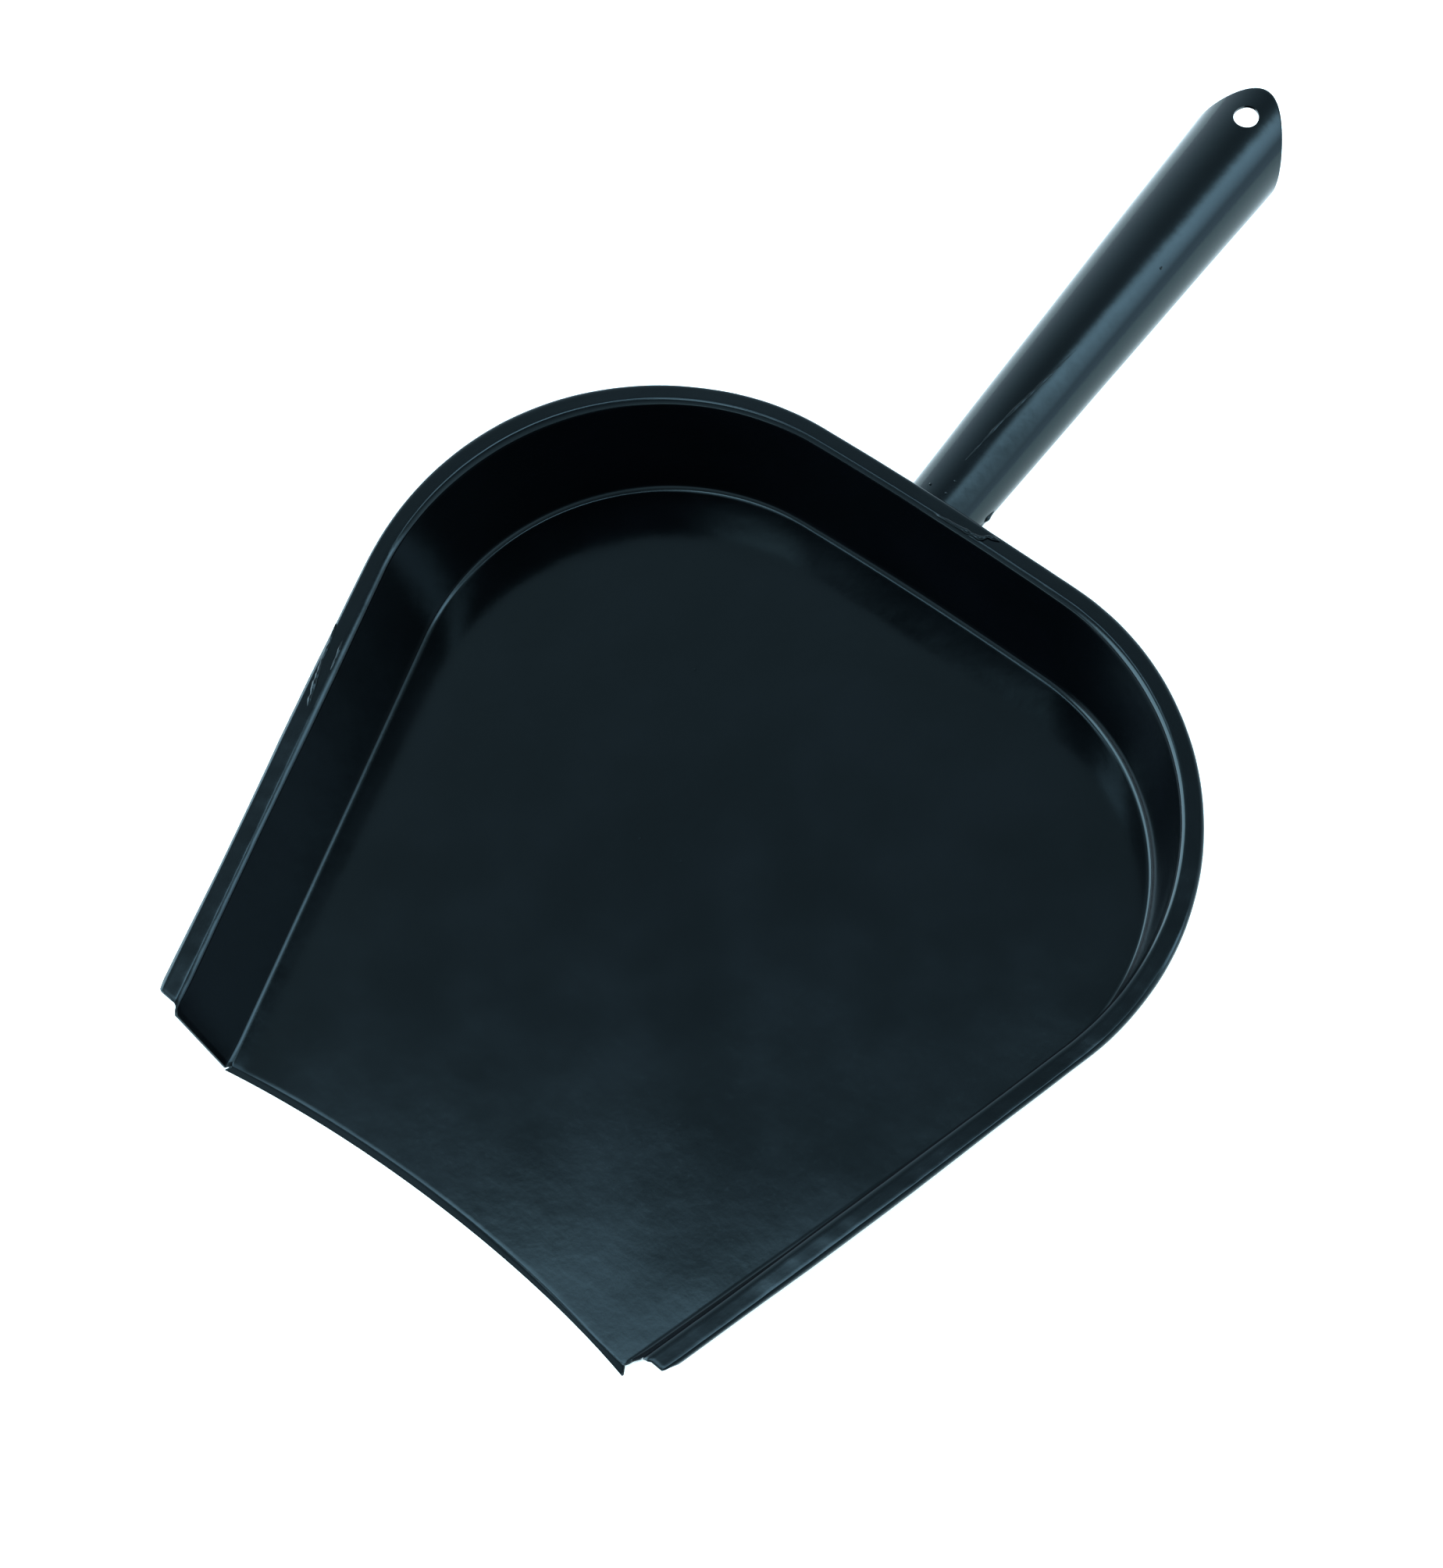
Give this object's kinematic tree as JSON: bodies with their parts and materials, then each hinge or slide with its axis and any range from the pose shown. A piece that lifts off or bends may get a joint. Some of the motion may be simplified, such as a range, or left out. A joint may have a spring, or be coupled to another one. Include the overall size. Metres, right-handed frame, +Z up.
{
  "type": "dustpan",
  "caption": "Black painted sheet-steel dustpan with a floor that widens from the mouth, leaning walls with a turned-out rim, and a tapered tube handle with a hanging hole.",
  "frame": {"origin": "centre of the bounding box's bottom face, on the surface that the dustpan stands on", "axes": "+Y from the mouth to the handle's end, +X across the pan, +Z up"},
  "size_m": [0.2522, 0.4024, 0.0457],
  "materials": {
    "black_paint": "gloss black paint over sheet steel, slightly wavy, with a few drips and nibs"
  },
  "bodies": {
    "root": {"pan": "black_paint", "handle": "black_paint", "weld_bead": "black_paint"}
  },
  "joints": []
}
